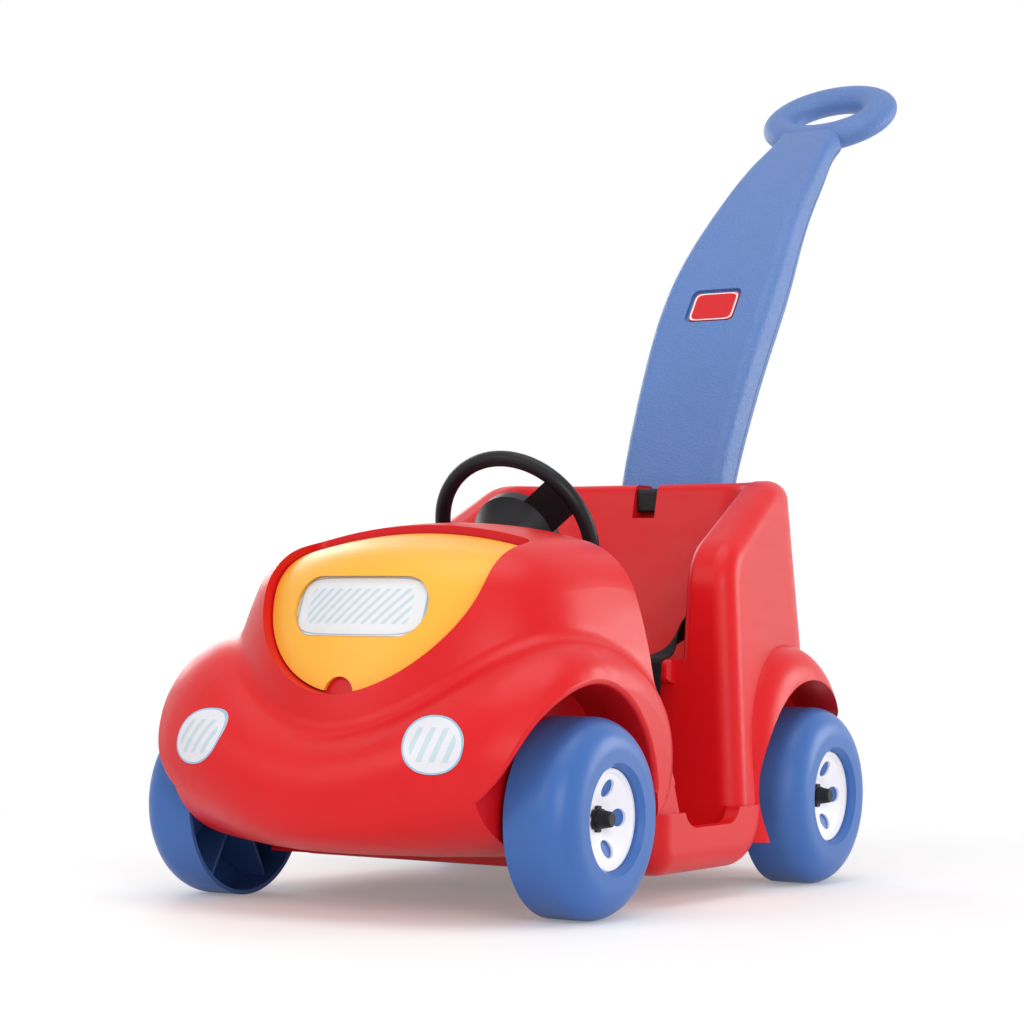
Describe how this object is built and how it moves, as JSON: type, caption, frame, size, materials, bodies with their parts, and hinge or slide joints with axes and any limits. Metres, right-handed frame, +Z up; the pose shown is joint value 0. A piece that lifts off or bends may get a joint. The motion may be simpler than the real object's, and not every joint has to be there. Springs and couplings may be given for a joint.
{
  "type": "push car",
  "caption": "Toddler ride-on push car with a moulded body, hood bin under a hinged lid, steering wheel, lap belt, and a tall curved push handle that folds to the rear.",
  "frame": {"origin": "on the floor, at the centre of the bounding box", "axes": "+X forward along the car, from the handle to the nose; +Y to the car's left; +Z up"},
  "size_m": [1.2152, 0.496, 0.992],
  "materials": {
    "red_plastic": "satin",
    "yellow_plastic": "satin",
    "blue_plastic": "satin",
    "grained_blue": "fine grain",
    "white_plastic": "satin",
    "lens_white": "gloss",
    "panel_white": "satin",
    "badge_red": "satin",
    "black_plastic": "satin",
    "webbing": "woven",
    "steel": "plain"
  },
  "bodies": {
    "car": {"body_shell": "red_plastic", "seat_tub": "red_plastic", "lid_hinge_pin": "steel", "front_axle": "steel", "rear_axle": "steel", "left_headlight": "lens_white", "right_headlight": "lens_white", "left_belt": "webbing", "right_belt": "webbing", "belt_buckle": "black_plastic", "belt_tongue": "black_plastic", "handle_pivot_pin": "steel", "latch_pin": "steel", "front_left_axle_cap": "black_plastic", "front_right_axle_cap": "black_plastic", "rear_left_axle_cap": "black_plastic", "rear_right_axle_cap": "black_plastic", "front_left_spacer": "black_plastic", "front_right_spacer": "black_plastic", "rear_left_spacer": "black_plastic", "rear_right_spacer": "black_plastic"},
    "hood": {"hood_lid": "yellow_plastic", "hood_panel": "panel_white"},
    "steering": {"steering_wheel": "black_plastic", "steering_column": "steel", "steering_collar": "black_plastic"},
    "horn": {"horn_button": "black_plastic"},
    "handle": {"push_handle": "grained_blue", "handle_badge": "badge_red"},
    "latch": {"handle_latch": "black_plastic"},
    "front_left_roller": {"front_left_wheel": "blue_plastic", "front_left_hub_disc": "white_plastic"},
    "front_right_roller": {"front_right_wheel": "blue_plastic", "front_right_hub_disc": "white_plastic"},
    "rear_left_roller": {"rear_left_wheel": "blue_plastic", "rear_left_hub_disc": "white_plastic"},
    "rear_right_roller": {"rear_right_wheel": "blue_plastic", "rear_right_hub_disc": "white_plastic"}
  },
  "joints": [
    {"name": "front_left_spin", "type": "hinge", "parent": "car", "child": "front_left_roller", "pos_m": [0.44161, 0.215, 0.095], "axis": [0, 1, 0], "continuous": true},
    {"name": "front_right_spin", "type": "hinge", "parent": "car", "child": "front_right_roller", "pos_m": [0.44161, -0.215, 0.095], "axis": [0, 1, 0], "continuous": true},
    {"name": "rear_left_spin", "type": "hinge", "parent": "car", "child": "rear_left_roller", "pos_m": [-0.03639, 0.215, 0.095], "axis": [0, 1, 0], "continuous": true},
    {"name": "rear_right_spin", "type": "hinge", "parent": "car", "child": "rear_right_roller", "pos_m": [-0.03639, -0.215, 0.095], "axis": [0, 1, 0], "continuous": true},
    {"name": "hood_hinge", "type": "hinge", "parent": "car", "child": "hood", "pos_m": [0.42961, 0, 0.3485], "axis": [0, -1, 0], "range_deg": [0, 70]},
    {"name": "steering_turn", "type": "hinge", "parent": "car", "child": "steering", "pos_m": [0.22451, 0, 0.3673], "axis": [-0.9026, 0, 0.4305], "continuous": true},
    {"name": "horn_press", "type": "slide", "parent": "steering", "child": "horn", "axis": [0.9026, 0, -0.4305], "range_m": [0, 0.004], "stiffness_N_per_m": 300, "springref_m": -0.002},
    {"name": "handle_fold", "type": "hinge", "parent": "car", "child": "handle", "pos_m": [-0.11839, 0, 0.2], "axis": [0, -1, 0], "range_deg": [0, 66]},
    {"name": "latch_lift", "type": "hinge", "parent": "car", "child": "latch", "pos_m": [-0.08239, 0, 0.425], "axis": [0, 1, 0], "range_deg": [0, 12], "stiffness_Nm_per_rad": 0.4, "springref_deg": -11.46}
  ]
}
